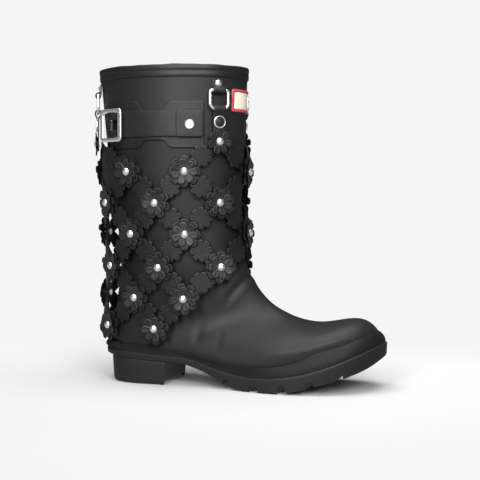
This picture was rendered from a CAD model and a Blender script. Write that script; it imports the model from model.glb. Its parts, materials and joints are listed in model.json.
import bpy
import json
import math
import random
import numpy as np
from mathutils import Vector, Matrix
from mathutils.bvhtree import BVHTree

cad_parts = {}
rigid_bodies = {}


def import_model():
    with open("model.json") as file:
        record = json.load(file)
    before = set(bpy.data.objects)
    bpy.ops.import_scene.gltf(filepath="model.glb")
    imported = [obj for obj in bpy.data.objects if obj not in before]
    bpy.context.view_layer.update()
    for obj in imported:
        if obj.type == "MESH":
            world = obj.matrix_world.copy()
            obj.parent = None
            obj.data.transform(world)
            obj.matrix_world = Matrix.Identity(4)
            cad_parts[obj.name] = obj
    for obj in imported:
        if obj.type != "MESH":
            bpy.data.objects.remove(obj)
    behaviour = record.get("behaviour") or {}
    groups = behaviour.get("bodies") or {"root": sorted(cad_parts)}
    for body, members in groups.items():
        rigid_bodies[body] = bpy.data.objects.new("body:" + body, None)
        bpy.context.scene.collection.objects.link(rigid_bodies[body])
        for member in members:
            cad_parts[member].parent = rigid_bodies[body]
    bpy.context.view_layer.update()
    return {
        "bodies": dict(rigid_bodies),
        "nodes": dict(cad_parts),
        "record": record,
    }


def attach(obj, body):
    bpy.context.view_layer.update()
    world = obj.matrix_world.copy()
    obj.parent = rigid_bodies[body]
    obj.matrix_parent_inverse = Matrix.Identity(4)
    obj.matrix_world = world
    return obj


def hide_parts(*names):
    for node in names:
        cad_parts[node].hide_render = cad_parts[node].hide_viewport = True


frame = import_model()
N = frame["nodes"]
BODIES = list(frame["bodies"])
MM = 0.001
SLOT_OF = {s["node"]: s["material_slot"] for s in frame["record"]["subparts"]}


# ------------------------------------------------------------------ materials
def nodes_of(name):
    m = bpy.data.materials.new(name)
    m.use_nodes = True
    t = m.node_tree
    b = t.nodes.get("Principled BSDF")
    return m, t, b


def link(t, a, b):
    t.links.new(a, b)


def noise(t, scale, detail=4.0, rough=0.6, coords=None, kind="ShaderNodeTexNoise"):
    n = t.nodes.new(kind)
    n.inputs["Scale"].default_value = scale
    if "Detail" in n.inputs:
        n.inputs["Detail"].default_value = detail
    if "Roughness" in n.inputs:
        n.inputs["Roughness"].default_value = rough
    if coords is not None:
        link(t, coords, n.inputs["Vector"])
    return n


def ramp(t, fac, stops):
    r = t.nodes.new("ShaderNodeValToRGB")
    e = r.color_ramp.elements
    while len(e) > len(stops):
        e.remove(e[-1])
    while len(e) < len(stops):
        e.new(1.0)
    for k, (p, c) in zip(e, stops):
        k.position = p
        k.color = c if len(c) == 4 else (*c, 1.0)
    link(t, fac, r.inputs["Fac"])
    return r.outputs["Color"]


def bump(t, height, strength, dist, prev=None):
    b = t.nodes.new("ShaderNodeBump")
    b.inputs["Strength"].default_value = strength
    b.inputs["Distance"].default_value = dist
    link(t, height, b.inputs["Height"])
    if prev is not None:
        link(t, prev, b.inputs["Normal"])
    return b.outputs["Normal"]


def grey(v, tint=(1.0, 1.0, 1.0)):
    return (v * tint[0], v * tint[1], v * tint[2], 1.0)


def rubber(name, dark, light, r0, r1, grain=900.0, grain_strength=0.25, wear=0.5, sheen=0.0, tint=(1.0, 1.0, 1.02), ior=1.5, cloud=22.0):
    m, t, b = nodes_of(name)
    tc = t.nodes.new("ShaderNodeTexCoord").outputs["Object"]
    big = noise(t, cloud, 5.0, 0.62, tc)
    fine = noise(t, grain, 3.0, 0.55, tc)
    col = ramp(t, big.outputs["Fac"], [(0.32, grey(dark, tint)), (0.68, grey(light, tint))])
    geo = t.nodes.new("ShaderNodeNewGeometry")
    edge = ramp(t, geo.outputs["Pointiness"], [(0.50, (0, 0, 0)), (0.56, (1, 1, 1))])
    speck = noise(t, 160.0, 4.0, 0.7, tc)
    mul = t.nodes.new("ShaderNodeMath")
    mul.operation = "MULTIPLY"
    link(t, edge, mul.inputs[0])
    link(t, speck.outputs["Fac"], mul.inputs[1])
    mul2 = t.nodes.new("ShaderNodeMath")
    mul2.operation = "MULTIPLY"
    mul2.inputs[1].default_value = wear
    link(t, mul.outputs[0], mul2.inputs[0])
    mix = t.nodes.new("ShaderNodeMix")
    mix.data_type = "RGBA"
    link(t, mul2.outputs[0], mix.inputs["Factor"])
    link(t, col, mix.inputs["A"])
    mix.inputs["B"].default_value = grey(min(1.0, light * 2.6), tint)
    link(t, mix.outputs["Result"], b.inputs["Base Color"])
    rr = ramp(t, big.outputs["Fac"], [(0.3, grey(r0)), (0.72, grey(r1))])
    link(t, rr, b.inputs["Roughness"])
    n1 = bump(t, fine.outputs["Fac"], grain_strength, 0.00012)
    n2 = bump(t, big.outputs["Fac"], 0.12, 0.0009, n1)
    link(t, n2, b.inputs["Normal"])
    b.inputs["IOR"].default_value = ior
    b.inputs["Specular IOR Level"].default_value = 0.34
    if sheen:
        b.inputs["Sheen Weight"].default_value = sheen
        b.inputs["Sheen Roughness"].default_value = 0.5
    return m


def leather(name, dark, light, r0, r1, scale=1100.0):
    m, t, b = nodes_of(name)
    tc = t.nodes.new("ShaderNodeTexCoord").outputs["Object"]
    big = noise(t, 45.0, 5.0, 0.6, tc)
    vor = t.nodes.new("ShaderNodeTexVoronoi")
    vor.feature = "DISTANCE_TO_EDGE"
    vor.inputs["Scale"].default_value = scale
    link(t, tc, vor.inputs["Vector"])
    cell = ramp(t, vor.outputs["Distance"], [(0.0, (0, 0, 0)), (0.16, (1, 1, 1))])
    col = ramp(t, big.outputs["Fac"], [(0.3, grey(dark)), (0.7, grey(light))])
    mix = t.nodes.new("ShaderNodeMix")
    mix.data_type = "RGBA"
    mix.blend_type = "MULTIPLY"
    mix.inputs["Factor"].default_value = 0.35
    link(t, col, mix.inputs["A"])
    link(t, cell, mix.inputs["B"])
    link(t, mix.outputs["Result"], b.inputs["Base Color"])
    rr = ramp(t, big.outputs["Fac"], [(0.3, grey(r0)), (0.7, grey(r1))])
    link(t, rr, b.inputs["Roughness"])
    n1 = bump(t, cell, 0.22, 0.0002)
    n2 = bump(t, big.outputs["Fac"], 0.15, 0.0006, n1)
    link(t, n2, b.inputs["Normal"])
    b.inputs["Specular IOR Level"].default_value = 0.36
    return m


def metal(name, colour, r0, r1, scratch=0.25, dark=None, glow=0.0):
    m, t, b = nodes_of(name)
    tc = t.nodes.new("ShaderNodeTexCoord").outputs["Object"]
    mp = t.nodes.new("ShaderNodeMapping")
    mp.inputs["Scale"].default_value = (1.0, 1.0, 14.0)
    link(t, tc, mp.inputs["Vector"])
    fine = noise(t, 900.0, 3.0, 0.6, mp.outputs["Vector"])
    big = noise(t, 120.0, 4.0, 0.6, tc)
    c1 = (*colour, 1.0)
    c0 = (*(dark or tuple(c * 0.72 for c in colour)), 1.0)
    link(t, ramp(t, big.outputs["Fac"], [(0.25, c0), (0.6, c1)]), b.inputs["Base Color"])
    link(t, ramp(t, fine.outputs["Fac"], [(0.3, grey(r0)), (0.75, grey(r1))]), b.inputs["Roughness"])
    b.inputs["Metallic"].default_value = 1.0
    b.inputs["Emission Color"].default_value = (*colour, 1.0)
    b.inputs["Emission Strength"].default_value = glow
    link(t, bump(t, fine.outputs["Fac"], scratch, 0.00005), b.inputs["Normal"])
    return m


def knit(name, dark, light, scale=820.0):
    m, t, b = nodes_of(name)
    tc = t.nodes.new("ShaderNodeTexCoord").outputs["Object"]
    w1 = t.nodes.new("ShaderNodeTexWave")
    w1.bands_direction = "Z"
    w1.inputs["Scale"].default_value = scale * 0.30
    w1.inputs["Distortion"].default_value = 1.2
    w1.inputs["Detail"].default_value = 1.0
    link(t, tc, w1.inputs["Vector"])
    w2 = t.nodes.new("ShaderNodeTexWave")
    w2.bands_direction = "DIAGONAL"
    w2.inputs["Scale"].default_value = scale * 0.26
    w2.inputs["Distortion"].default_value = 1.0
    link(t, tc, w2.inputs["Vector"])
    mul = t.nodes.new("ShaderNodeMath")
    mul.operation = "MULTIPLY"
    link(t, w1.outputs["Fac"], mul.inputs[0])
    link(t, w2.outputs["Fac"], mul.inputs[1])
    big = noise(t, 60.0, 5.0, 0.6, tc)
    add = t.nodes.new("ShaderNodeMath")
    add.operation = "ADD"
    link(t, mul.outputs[0], add.inputs[0])
    link(t, big.outputs["Fac"], add.inputs[1])
    link(t, ramp(t, add.outputs[0], [(0.3, (*dark, 1.0)), (1.0, (*light, 1.0))]), b.inputs["Base Color"])
    b.inputs["Roughness"].default_value = 0.95
    b.inputs["Sheen Weight"].default_value = 0.35
    link(t, bump(t, mul.outputs[0], 0.6, 0.0003), b.inputs["Normal"])
    return m


def enamel(name, dark, light, r0=0.28, r1=0.42):
    m, t, b = nodes_of(name)
    tc = t.nodes.new("ShaderNodeTexCoord").outputs["Object"]
    big = noise(t, 70.0, 5.0, 0.65, tc)
    fine = noise(t, 1400.0, 2.0, 0.5, tc)
    link(t, ramp(t, big.outputs["Fac"], [(0.25, (*dark, 1.0)), (0.7, (*light, 1.0))]), b.inputs["Base Color"])
    link(t, ramp(t, big.outputs["Fac"], [(0.3, grey(r0)), (0.7, grey(r1))]), b.inputs["Roughness"])
    link(t, bump(t, fine.outputs["Fac"], 0.15, 0.00008), b.inputs["Normal"])
    return m


MAT = {
    "upper_rubber": rubber("upper_rubber", 0.0064, 0.0088, 0.52, 0.62, 700.0, 0.22, 0.25),
    "binding_rubber": rubber("binding_rubber", 0.005, 0.008, 0.42, 0.54, 900.0, 0.2, 0.4),
    "rand_rubber": rubber("rand_rubber", 0.0058, 0.0080, 0.56, 0.68, 800.0, 0.25, 0.45),
    "sole_rubber": rubber("sole_rubber", 0.0085, 0.0125, 0.50, 0.66, 650.0, 0.35, 0.6),
    "net_rubber": rubber("net_rubber", 0.0055, 0.009, 0.42, 0.56, 1000.0, 0.3, 0.6),
    "petal_rubber": rubber("petal_rubber", 0.009, 0.018, 0.36, 0.50, 1000.0, 0.3, 0.9),
    "strap_leather": leather("strap_leather", 0.006, 0.010, 0.40, 0.52),
    "lining_fabric": knit("lining_fabric", (0.018, 0.018, 0.019), (0.052, 0.052, 0.055)),
    "insole_fabric": knit("insole_fabric", (0.05, 0.05, 0.052), (0.11, 0.11, 0.115)),
    "insole_board": knit("insole_board", (0.16, 0.12, 0.08), (0.26, 0.2, 0.14)),
    "label_cream": enamel("label_cream", (0.80, 0.74, 0.60), (0.92, 0.87, 0.74)),
    "label_red": enamel("label_red", (0.42, 0.045, 0.06), (0.56, 0.075, 0.095)),
    "bright_metal": metal("bright_metal", (0.90, 0.90, 0.91), 0.24, 0.38, glow=0.15),
    "stud_metal": metal("stud_metal", (0.46, 0.46, 0.47), 0.52, 0.66, glow=0.04),
    "snap_metal": metal("snap_metal", (0.74, 0.74, 0.75), 0.24, 0.38, glow=0.06),
}


for slot_name, level in (("sole_rubber", 0.29), ("rand_rubber", 0.20), ("net_rubber", 0.30)):
    for node in MAT[slot_name].node_tree.nodes:
        if node.type == "BSDF_PRINCIPLED":
            node.inputs["Specular IOR Level"].default_value = level


def dress(o, slot):
    o.data.materials.clear()
    o.data.materials.append(MAT[slot])


for name, o in N.items():
    s = SLOT_OF.get(name)
    if s in MAT:
        if len(o.material_slots) == 0:
            o.data.materials.append(MAT[s])
        for ms in o.material_slots:
            ms.material = MAT["stud_metal" if name == "strap_stud" else s]


# ------------------------------------------------------------------ mesh helpers
def make(name, verts, faces, slot, body, replaces=(), smooth=True, auto=None):
    me = bpy.data.meshes.new(name)
    me.from_pydata([tuple(v) for v in verts], [], [tuple(f) for f in faces])
    me.validate()
    me.update()
    o = bpy.data.objects.new(name, me)
    bpy.context.scene.collection.objects.link(o)
    if smooth:
        me.polygons.foreach_set("use_smooth", [True] * len(me.polygons))
    dress(o, slot)
    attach(o, body)
    if replaces:
        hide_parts(*replaces)
    if auto is not None:
        try:
            me.set_sharp_from_angle(angle=math.radians(auto))
        except Exception:
            pass
    return o


class Builder:
    def __init__(self):
        self.v = []
        self.f = []

    def add(self, verts, faces):
        k = len(self.v)
        self.v.extend([tuple(p) for p in verts])
        self.f.extend([tuple(i + k for i in f) for f in faces])


def at(table, x):
    n = len(table)
    if x <= table[0][0]:
        return table[0][1]
    if x >= table[-1][0]:
        return table[-1][1]
    i = 0
    while table[i + 1][0] < x:
        i += 1

    def slope(k):
        if k == 0:
            return (table[1][1] - table[0][1]) / (table[1][0] - table[0][0])
        if k == n - 1:
            return (table[-1][1] - table[-2][1]) / (table[-1][0] - table[-2][0])
        a = (table[k][1] - table[k - 1][1]) / (table[k][0] - table[k - 1][0])
        b = (table[k + 1][1] - table[k][1]) / (table[k + 1][0] - table[k][0])
        return 0.0 if a * b <= 0 else 2 * a * b / (a + b)
    x0, y0 = table[i]
    x1, y1 = table[i + 1]
    h = x1 - x0
    t = (x - x0) / h
    return ((2 * t**3 - 3 * t * t + 1) * y0 + (t**3 - 2 * t * t + t) * h * slope(i)
            + (-2 * t**3 + 3 * t * t) * y1 + (t**3 - t * t) * h * slope(i + 1))


LEG = [(-299.0, (73.0, -73.0, 51.5)), (-250.0, (71.0, -68.5, 50.0)), (-197.0, (68.2, -63.0, 47.5)),
       (-155.0, (67.0, -57.0, 44.0)), (-129.0, (68.5, -53.5, 42.0))]
LEGT = [[(a, b[j]) for a, b in LEG] for j in range(3)]


def leg_point(phi, z, off):
    xf, xb, w = at(LEGT[0], -z), at(LEGT[1], -z), at(LEGT[2], -z)
    a, cx = (xf - xb) / 2, (xf + xb) / 2
    p = math.radians(phi)
    t = math.atan2(math.sin(p) * a, math.cos(p) * w)
    nx, ny = math.cos(t) / a, math.sin(t) / w
    ln = math.hypot(nx, ny)
    return Vector((cx + a * math.cos(t) + nx / ln * off, w * math.sin(t) + ny / ln * off, z)), Vector((nx / ln, ny / ln, 0))


NET_XF = [(-255, 73.6), (-229, 73.2), (-202, 71.6), (-173, 70.8), (-144, 71.6), (-128, 73.6), (-113, 77.5), (-84, 84.0), (-55, 90.0), (-30, 92.0)]
NET_XB = [(-255, -71.5), (-229, -71.2), (-202, -70.2), (-173, -68.8), (-144, -67.4), (-113, -66.4), (-84, -67.4), (-55, -71.0), (-30, -73.0)]
NET_W = [(-255, 52.9), (-229, 52.4), (-202, 51.0), (-173, 49.4), (-144, 47.6), (-113, 45.6), (-84, 43.4), (-55, 41.4), (-30, 40.6)]


NET_LEAN = [(-160, 0.0), (-144, 0.4), (-128, 1.6), (-113, 3.6), (-84, 9.0), (-55, 17.0), (-30, 22.0)]


def net_point(phi, z, off=0.0):
    xf, xb, w = at(NET_XF, -z), at(NET_XB, -z), at(NET_W, -z)
    a, cx = (xf - xb) / 2, (xf + xb) / 2
    p = math.radians(phi + at(NET_LEAN, -z) * math.sin(math.radians(phi)))
    t = math.atan2(math.sin(p) * a, math.cos(p) * w)
    nx, ny = math.cos(t) / a, math.sin(t) / w
    ln = math.hypot(nx, ny)
    return Vector((cx + a * math.cos(t) + nx / ln * off, w * math.sin(t) + ny / ln * off, z))


def net_frame(phi, z):
    e = 0.5
    du = net_point(phi + e, z) - net_point(phi - e, z)
    dv = net_point(phi, z + e) - net_point(phi, z - e)
    n = du.cross(dv).normalized()
    up = Vector((0, 0, 1))
    t = n.cross(up).normalized()
    u = t.cross(n)
    return net_point(phi, z), t, n, u


ROWS = {
    1: (229.0, [-31, 30, 90, 150, 193]),
    2: (202.0, [0, 60, 120, 180, 240, 300]),
    3: (173.0, [-30, 30, 90, 150, 210, 270]),
    4: (144.0, [0, 60, 120, 180, 240, 300]),
    5: (113.0, [-30, 30, 90, 150, 210, 270]),
    6: (84.0, [60, 120, 180, 240, 300]),
    7: (55.0, [90, 150, 210, 270]),
}
NODE_AT = [(r, p % 360, z) for r, (z, ps) in ROWS.items() for p in ps]
LINKS = []
for r, p, z in NODE_AT:
    if r + 1 in ROWS:
        for q in ROWS[r + 1][1]:
            d = (q - p + 180) % 360 - 180
            if abs(d) <= (48 if r == 1 else 31):
                LINKS.append((p + d / 2.0, (z + ROWS[r + 1][0]) / 2.0, math.atan2(ROWS[r + 1][0] - z, math.radians(d) * 60.0)))


# ------------------------------------------------------------------ flowers
def flower_mesh(rad, petals, lobe, thick, cup, lift, rng, sag=0.0, phase=0.0, groove=0.35, curl=None, rings=9, seg=10):
    """A moulded flower in local x, y (outward), z: each petal is its own shallow cup with a rounded edge."""
    nseg = petals * seg
    c = rad - lobe
    half = math.pi / petals
    lifts = [lift * (0.35 + 0.65 * rng.random()) for _ in range(petals)]
    if curl:
        for i in curl:
            lifts[i % petals] *= 2.0
    sizes = [1.0 + 0.05 * (rng.random() - 0.5) for _ in range(petals)]
    top, bot = [], []
    for j in range(rings + 1):
        f = j / rings
        f = 1 - (1 - f) ** 1.25
        rt, rb = [], []
        for i in range(nseg):
            th = 2 * math.pi * i / nseg
            k = int(i // seg)
            dlt = th - (k + 0.5) * 2 * half
            s = min(abs(dlt) / half, 1.0)
            under = max(lobe * lobe - (c * math.sin(dlt)) ** 2, 0.02)
            edge = (c * math.cos(dlt) + math.sqrt(under)) * sizes[k]
            # the notch between two petals runs deep
            edge *= 1.0 - 0.16 * s ** 6
            r = edge * f
            # petal height: lifted towards the tip, cupped across, a groove between petals
            rise = lifts[k] * (r / rad) ** 2.2 + cup * (r / rad) ** 2 * (s ** 2 - 0.35)
            g = groove * (s ** 8) * min(1.0, (r / rad) * 2.0) * (r / rad) ** 0.4
            vein = 0.0
            h = rise - g + vein - sag * r * r
            a = th + phase
            x, z = r * math.cos(a), r * math.sin(a)
            rim = 0.0
            if f > 0.86:
                q = (f - 0.86) / 0.14
                rim = thick * 0.5 * (1 - math.sqrt(max(0.0, 1 - q * q)))
            rt.append((x, h + thick - rim, z))
            rb.append((x, h + rim, z))
        top.append(rt)
        bot.append(rb)
    verts, faces = [], []
    n = nseg
    for rows in (top, bot):
        for rr in rows[1:]:
            verts.extend(rr)
    ct, cb = len(verts), len(verts) + 1
    verts.append((0, thick, 0))
    verts.append((0, 0, 0))
    off = rings * n
    for j in range(rings - 1):
        for i in range(n):
            a, b2 = j * n + i, j * n + (i + 1) % n
            faces.append((a, a + n, b2 + n, b2))
            faces.append((off + a, off + b2, off + b2 + n, off + a + n))
    for i in range(n):
        i2 = (i + 1) % n
        faces.append((ct, i, i2))
        faces.append((cb, off + i2, off + i))
        e = (rings - 1) * n
        faces.append((e + i, off + e + i, off + e + i2, e + i2))
    return verts, faces


def put(builder, mesh, origin, t, n, u, off):
    v, f = mesh
    builder.add([(origin + t * x + n * (y + off) + u * z) * MM for x, y, z in v], f)


def put_on_net(builder, mesh, phi, z0, off, follow):
    """Lays a flower on the net's own surface; follow 0 keeps it flat, 1 bends it with the net."""
    p0, t, n, u = net_frame(phi, z0)
    out = []
    for x, y, z in mesh[0]:
        flat = p0 + t * x + n * (y + off) + u * z
        zz = z0 + z
        # arc length to angle near this place
        dphi = math.degrees(x / max(20.0, (net_point(phi + 1, zz) - net_point(phi - 1, zz)).length / math.radians(2)))
        pn = net_point(phi - dphi, zz, off + y)
        out.append((flat.lerp(pn, follow)) * MM)
    builder.add(out, mesh[1])


rng = random.Random(11)
TN = 1.4
base_b, top_b, link_b = Builder(), Builder(), Builder()
for r, p, z in NODE_AT:
    if r == 1:
        continue
    ph = rng.random() * 0.8
    mesh = flower_mesh(15.3, 8, 4.85, 1.1, 1.0, 1.0, rng, phase=ph, curl=[rng.randrange(8), rng.randrange(8)])
    put_on_net(base_b, mesh, p, z, TN + 1.75, 0.25)
    ph = rng.random() * 0.8
    mesh = flower_mesh(12.1, 7, 3.95, 1.15, 0.7, 1.7, rng, phase=ph, curl=[rng.randrange(7), rng.randrange(7)], groove=0.95)
    put_on_net(top_b, mesh, p, z, TN + 3.1, 0.1)
for p, z, ang in LINKS:
    mesh = flower_mesh(11.0, 8, 3.6, 0.95, 0.3, 0.3, rng, phase=rng.random() * 0.8, groove=0.22)
    put_on_net(link_b, mesh, p, z, TN + 0.12, 0.9)
make("flowers_under", base_b.v, base_b.f, "net_rubber", "boot", ["base_flowers"])
over = make("flowers_over", top_b.v, top_b.f, "net_rubber", "boot", ["top_flowers"])
over.data.materials[0] = MAT["petal_rubber"]
make("flowers_linking", link_b.v, link_b.f, "net_rubber", "boot", ["link_flowers"])

# ------------------------------------------------------------------ the upper
KEYS = [
    (73.0, 299.0, -73.0, 299.0, 51.5, 0.0, 0.0, 0.50, 2.0, 2.0),
    (71.0, 250.0, -68.5, 250.0, 50.0, 0.0, 0.0, 0.50, 2.0, 2.0),
    (68.2, 197.0, -63.0, 197.0, 47.5, 0.0, 0.0, 0.50, 2.0, 2.0),
    (67.0, 155.0, -57.0, 155.0, 44.0, 0.0, 0.0, 0.50, 2.0, 2.0),
    (68.5, 129.0, -53.5, 126.0, 42.0, 0.0, 0.0, 0.50, 2.0, 2.0),
    (72.0, 114.0, -53.5, 103.0, 40.5, 0.0, 0.0, 0.53, 2.0, 2.05),
    (78.5, 101.5, -56.5, 80.0, 38.0, 0.0, 0.5, 0.60, 2.0, 2.15),
    (86.5, 89.5, -59.0, 58.0, 35.5, 0.0, 1.0, 0.68, 2.0, 2.25),
    (96.5, 78.8, -60.8, 38.0, 33.5, 0.0, 2.0, 0.74, 2.0, 2.3),
    (104.5, 73.0, -48.0, 27.0, 33.0, 0.0, 3.0, 0.73, 2.05, 2.5),
    (111.5, 69.0, -12.0, 25.5, 34.0, 0.0, 4.0, 0.70, 2.1, 2.9),
    (119.0, 65.5, 25.0, 22.5, 36.8, -0.5, 5.0, 0.68, 2.15, 3.3),
    (127.0, 62.8, 60.0, 17.5, 41.8, -1.0, 6.0, 0.68, 2.2, 3.6),
    (135.0, 61.2, 90.0, 15.0, 45.0, -0.5, 6.0, 0.67, 2.2, 3.8),
    (143.0, 60.6, 113.0, 15.0, 45.6, 1.0, 5.5, 0.65, 2.2, 3.8),
    (151.0, 61.2, 134.0, 18.5, 43.8, 2.5, 5.0, 0.63, 2.2, 3.7),
    (159.5, 62.6, 151.5, 24.0, 40.5, 4.0, 4.0, 0.61, 2.2, 3.5),
    (168.0, 64.2, 166.0, 29.5, 36.5, 5.0, 3.0, 0.60, 2.2, 3.3),
    (176.5, 65.0, 178.0, 34.0, 31.5, 6.0, 2.0, 0.58, 2.2, 3.0),
    (185.0, 64.0, 187.5, 38.0, 25.5, 6.5, 1.0, 0.56, 2.15, 2.7),
    (192.5, 60.0, 194.5, 42.0, 18.0, 7.0, 0.0, 0.54, 2.1, 2.4),
    (198.0, 54.5, 198.8, 46.0, 9.0, 7.0, 0.0, 0.50, 2.0, 2.0),
]


def key_at(u):
    n = len(KEYS) - 1
    u = min(max(u, 0.0), n - 1e-9)
    i = int(u)
    f = u - i
    p0, p1, p2, p3 = KEYS[max(i - 1, 0)], KEYS[i], KEYS[i + 1], KEYS[min(i + 2, n)]
    out = []
    for a, b, c, d in zip(p0, p1, p2, p3):
        m1, m2 = (c - a) / 2, (d - b) / 2
        if i == 0:
            m1 = c - b
        if i == n - 1:
            m2 = c - b
        out.append((2 * f**3 - 3 * f * f + 1) * b + (f**3 - 2 * f * f + f) * m1 + (-2 * f**3 + 3 * f * f) * c + (f**3 - f * f) * m2)
    return out


def ring_at(u, count, off=0.0):
    xf, zf, xb, zb, w, yc, yr, m, nt, nb = key_at(u)
    ln = math.hypot(xb - xf, zb - zf)
    dx, dz = (xb - xf) / ln, (zb - zf) / ln
    mx, mz = xf + m * ln * dx, zf + m * ln * dz
    la, lb, wide = m * ln + off, (1 - m) * ln + off, w + off
    t = 2 * np.pi * (np.arange(count) + 0.5) / count
    c, s = np.cos(t), np.sin(t)
    k = 0.5 - 0.5 * np.tanh(c * 4.0)
    n = nt * (1 - k) + nb * k
    a = np.sign(c) * np.abs(c) ** (2.0 / n)
    y = np.sign(s) * np.abs(s) ** (2.0 / n)
    q = np.where(c >= 0, -a * la, -a * lb)
    return np.stack([mx + q * dx, yc + wide * y + np.where(c > 0, yr * a * a, 0.0), mz + q * dz], 1)


def bvh_of(*names):
    vs, fs = [], []
    for nm in names:
        me = N[nm].data
        k = len(vs)
        vs.extend([v.co.copy() for v in me.vertices])
        fs.extend([[i + k for i in p.vertices] for p in me.polygons])
    return BVHTree.FromPolygons(vs, fs)


UPPER = bvh_of("upper_shell")


def grid_normals(g, wrap=True):
    du = np.gradient(g, axis=0)
    dv = (np.roll(g, -1, 1) - np.roll(g, 1, 1)) / 2 if wrap else np.gradient(g, axis=1)
    n = np.cross(dv, du)
    return n / np.maximum(np.linalg.norm(n, axis=2, keepdims=True), 1e-9)


def seg_dist(p, line):
    best = np.full(p.shape[:-1], 1e9)
    for a, b in zip(line[:-1], line[1:]):
        a, b = np.array(a, float), np.array(b, float)
        ab = b - a
        t = np.clip(((p - a) @ ab) / (ab @ ab), 0, 1)
        d = np.linalg.norm(p - (a + t[..., None] * ab), axis=-1)
        best = np.minimum(best, d)
    return best


def soft_noise(p, scale, seed):
    r = np.random.default_rng(seed)
    out = np.zeros(p.shape[:-1])
    for k in range(5):
        d = r.normal(size=3)
        d /= np.linalg.norm(d)
        out += np.sin((p @ d) / scale * (0.6 + 0.35 * k) + r.uniform(0, 6.28)) / (1 + 0.5 * k)
    return out / 2.6


# lines on the rubber where it folds when it is worn or warmed: (points, depth, width)
FOLDS = [
    ([(76.5, 0, 104), (75.9, -7.5, 102.7), (71.9, -15.8, 96.6), (67.3, -19.9, 91.0), (62.8, -22.4, 85.4)], 0.75, 3.0),
    ([(78.5, -4, 100.5), (74.2, -12.9, 98.4), (68.0, -19.6, 89.3), (61.0, -22.9, 78.7)], 0.55, 2.6),
    ([(38.1, -29.5, 66.0), (35.8, -30.5, 54.6), (35.0, -33.4, 43.6)], 0.85, 3.6),
    ([(57.4, -31.6, 52.7), (56.8, -34.4, 44.7), (55.8, -36.6, 37.0)], 0.55, 2.6),
    ([(76.5, 0, 104), (75.0, 8, 102.0), (70.9, 15.8, 95.6), (64.8, 21.4, 86.4)], 0.7, 3.0),
    ([(36.0, 29.5, 66.0), (34.0, 30.5, 54.6), (33.0, 33.4, 43.6)], 0.8, 3.6),
    ([(50.0, -33.0, 118.0), (60.0, -25.0, 110.0), (70.0, -12.0, 107.0)], 0.45, 4.0),
]


def build_upper():
    cnt = 224
    us = np.linspace(0, len(KEYS) - 1, 21 * 11 + 1)
    g = np.stack([ring_at(u, cnt) for u in us])
    flat = g.reshape(-1, 3)
    out = np.empty_like(flat)
    for i, p in enumerate(flat):
        hit = UPPER.find_nearest(Vector(p) * MM)
        q = hit[0]
        if q is None or (q / MM - Vector(p)).length > 1.6:
            out[i] = p
        else:
            out[i] = np.array(q) / MM
    g = out.reshape(g.shape)
    # even out the snapping so that highlights run smoothly
    for _ in range(3):
        s = g.copy()
        s[1:-1] = 0.5 * g[1:-1] + 0.25 * (g[2:] + g[:-2])
        s = 0.5 * s + 0.25 * (np.roll(s, 1, 1) + np.roll(s, -1, 1))
        g = s
    n = grid_normals(g)
    c = g.mean(axis=1, keepdims=True)
    if ((g - c) * n).sum() < 0:
        n = -n
    d = np.zeros(g.shape[:2])
    for line, depth, width in FOLDS:
        depth = depth * 0.75
        dist = seg_dist(g, line)
        d -= depth * np.exp(-(dist / width) ** 2)
        d += depth * 0.45 * np.exp(-((dist - 2.1 * width) / (1.3 * width)) ** 2)
    lower = np.clip((150 - g[..., 2]) / 60, 0, 1)
    d += 0.10 * soft_noise(g, 9.0, 3) * lower
    fade = np.clip((np.arange(len(us)) / 12.0), 0, 1)[:, None]
    outer = g + n * (d * fade)[..., None]
    inner = g - n * 2.45
    rows, cols = g.shape[:2]
    v = np.concatenate([outer.reshape(-1, 3), inner.reshape(-1, 3)]) * MM
    v = [tuple(x) for x in v]
    off = rows * cols
    f = []
    for j in range(rows - 1):
        for i in range(cols):
            a, b = j * cols + i, j * cols + (i + 1) % cols
            f.append((a, b, b + cols, a + cols))
            f.append((off + a, off + a + cols, off + b + cols, off + b))
    for i in range(cols):
        b = (i + 1) % cols
        f.append((i, off + i, off + b, b))
    # the toe ends, closed with a slightly domed cap
    for base, bulge, flip in ((0, 0.5, False), (off, 0.0, True)):
        ring = [Vector(v[base + (rows - 1) * cols + i]) for i in range(cols)]
        cc = sum(ring, Vector()) / cols
        prev = [base + (rows - 1) * cols + i for i in range(cols)]
        for step in (0.66, 0.33):
            cur = []
            for p in ring:
                q = cc.lerp(p, step) + Vector((bulge * (1 - step) * MM, 0, 0))
                cur.append(len(v))
                v.append(tuple(q))
            for i in range(cols):
                b = (i + 1) % cols
                face = (prev[i], prev[b], cur[b], cur[i])
                f.append(face if not flip else face[::-1])
            prev = cur
        v.append(tuple(cc + Vector((bulge * MM, 0, 0))))
        for i in range(cols):
            b = (i + 1) % cols
            face = (prev[i], prev[b], len(v) - 1)
            f.append(face if not flip else face[::-1])
    return make("upper_moulding", v, f, "upper_rubber", "boot", ["upper_shell"])


upper = build_upper()


# ------------------------------------------------------------------ mouth binding
def sweep_ring(profile, count=360, wave=None):
    """Sweeps a closed (offset, level) profile round the leg."""
    v, f = [], []
    m = len(profile)
    for i in range(count):
        phi = 360.0 * i / count
        for j, (o, z) in enumerate(profile):
            zz = min(z, 299.0)
            p, n = leg_point(phi, zz, o)
            dz = z - zz
            if wave:
                a, b = wave(phi, o, z)
                p = p + n * a
                dz += b
            v.append(((p.x) * MM, (p.y) * MM, (p.z + dz) * MM))
    for i in range(count):
        k = (i + 1) % count
        for j in range(m):
            l = (j + 1) % m
            f.append((i * m + j, k * m + j, k * m + l, i * m + l))
    return v, f


def rim_wave(phi, o, z):
    p = math.radians(phi)
    w = 0.16 * math.sin(5 * p + 0.6) + 0.12 * math.sin(11 * p + 2.0) + 0.08 * math.sin(19 * p)
    k = max(0.0, (z - 296.0) / 4.0)
    return 0.12 * math.sin(9 * p + 1.0) * (1 if o > 0 else 0.3), w * k - 0.12 * k


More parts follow.
